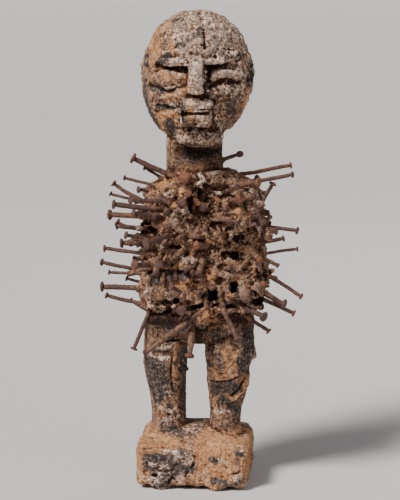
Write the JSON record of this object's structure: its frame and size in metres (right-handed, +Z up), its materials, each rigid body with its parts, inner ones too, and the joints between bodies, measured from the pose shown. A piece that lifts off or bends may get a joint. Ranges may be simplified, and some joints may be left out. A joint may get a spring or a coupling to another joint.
{
  "type": "nail fetish figure",
  "caption": "Standing figure carved with its plinth from one block of crusted wood, its trunk driven full of rusted iron nails. It stands free on the plinth.",
  "frame": {"origin": "middle of the plinth's underside, on the surface the figure stands on", "axes": "+Z up, the figure faces -Y, +X to the right of someone who faces it"},
  "size_m": [0.1828, 0.1364, 0.4235],
  "materials": {
    "wood": "weathered carved wood under a crackled coat of earth, with charred patches and bare orange-tan wood",
    "iron": "rusted iron nails, dull purplish brown with orange-red heads"
  },
  "bodies": {
    "root": {"figure": "wood", "nail_left_shoulder_1": "iron", "nail_left_shoulder_2": "iron", "nail_left_shoulder_3": "iron", "nail_left_shoulder_4": "iron", "nail_left_shoulder_5": "iron", "nail_left_shoulder_6": "iron", "nail_left_arm_1": "iron", "nail_left_arm_2": "iron", "nail_left_arm_3": "iron", "nail_left_arm_4": "iron", "nail_left_arm_5": "iron", "nail_left_arm_6": "iron", "nail_left_arm_7": "iron", "nail_left_arm_8": "iron", "nail_left_arm_9": "iron", "nail_left_flank_1": "iron", "nail_left_flank_2": "iron", "nail_left_flank_3": "iron", "nail_left_flank_4": "iron", "nail_left_flank_5": "iron", "nail_left_flank_6": "iron", "nail_left_flank_7": "iron", "nail_left_hip_1": "iron", "nail_left_hip_2": "iron", "nail_chest_1": "iron", "nail_chest_2": "iron", "nail_chest_3": "iron", "nail_chest_4": "iron", "nail_chest_5": "iron", "nail_chest_6": "iron", "nail_chest_7": "iron", "nail_belly_1": "iron", "nail_belly_2": "iron", "nail_belly_3": "iron", "nail_belly_4": "iron", "nail_belly_5": "iron", "nail_right_shoulder_1": "iron", "nail_right_shoulder_2": "iron", "nail_right_shoulder_3": "iron", "nail_right_shoulder_4": "iron", "nail_right_shoulder_5": "iron", "nail_right_arm_1": "iron", "nail_right_arm_2": "iron", "nail_right_arm_3": "iron", "nail_right_arm_4": "iron", "nail_right_arm_5": "iron", "nail_right_flank_1": "iron", "nail_right_flank_2": "iron", "nail_right_flank_3": "iron", "nail_right_flank_4": "iron", "nail_right_flank_5": "iron", "nail_back_1": "iron", "nail_back_2": "iron", "nail_back_3": "iron", "nail_back_4": "iron", "nail_back_5": "iron", "nail_back_6": "iron", "nail_back_7": "iron", "nail_back_8": "iron"}
  },
  "joints": []
}
